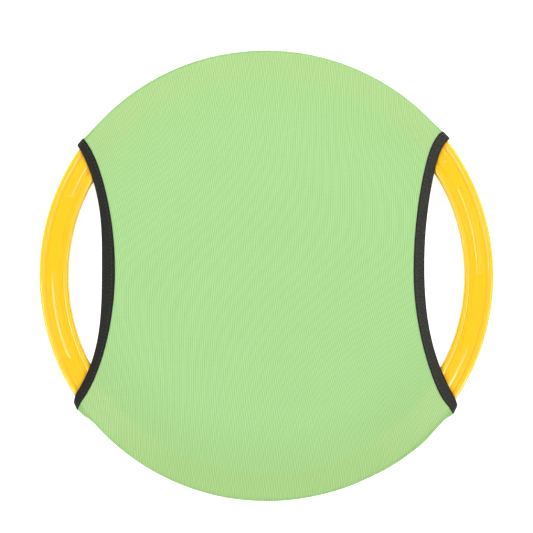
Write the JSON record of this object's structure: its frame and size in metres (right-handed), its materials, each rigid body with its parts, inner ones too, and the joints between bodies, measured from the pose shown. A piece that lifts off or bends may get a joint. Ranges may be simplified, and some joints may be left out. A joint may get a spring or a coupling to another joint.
{
  "type": "hand-held bounce disc",
  "caption": "Round hand-held disc for bouncing and catching a ball: a stretch-knit sleeve pulled over a plastic ring, with two side openings where the bare ring is gripped.",
  "frame": {"origin": "under the middle of the disc, on the surface that it lies on", "axes": "+Z out of the front face along the ring's axis, +X through the right-hand grip opening, +Y towards the top covered rim"},
  "size_m": [0.3999, 0.3975, 0.0172],
  "materials": {
    "ring_plastic": "smooth moulded gloss",
    "stretch_knit": "fine ribbed stretch knit",
    "binding_tape": "matt woven fold-over elastic"
  },
  "bodies": {
    "root": {"right_ring_arc": "ring_plastic", "top_ring_arc": "ring_plastic", "left_ring_arc": "ring_plastic", "bottom_ring_arc": "ring_plastic", "front_panel": "stretch_knit", "back_panel": "stretch_knit", "right_binding": "binding_tape", "left_binding": "binding_tape"}
  },
  "joints": []
}
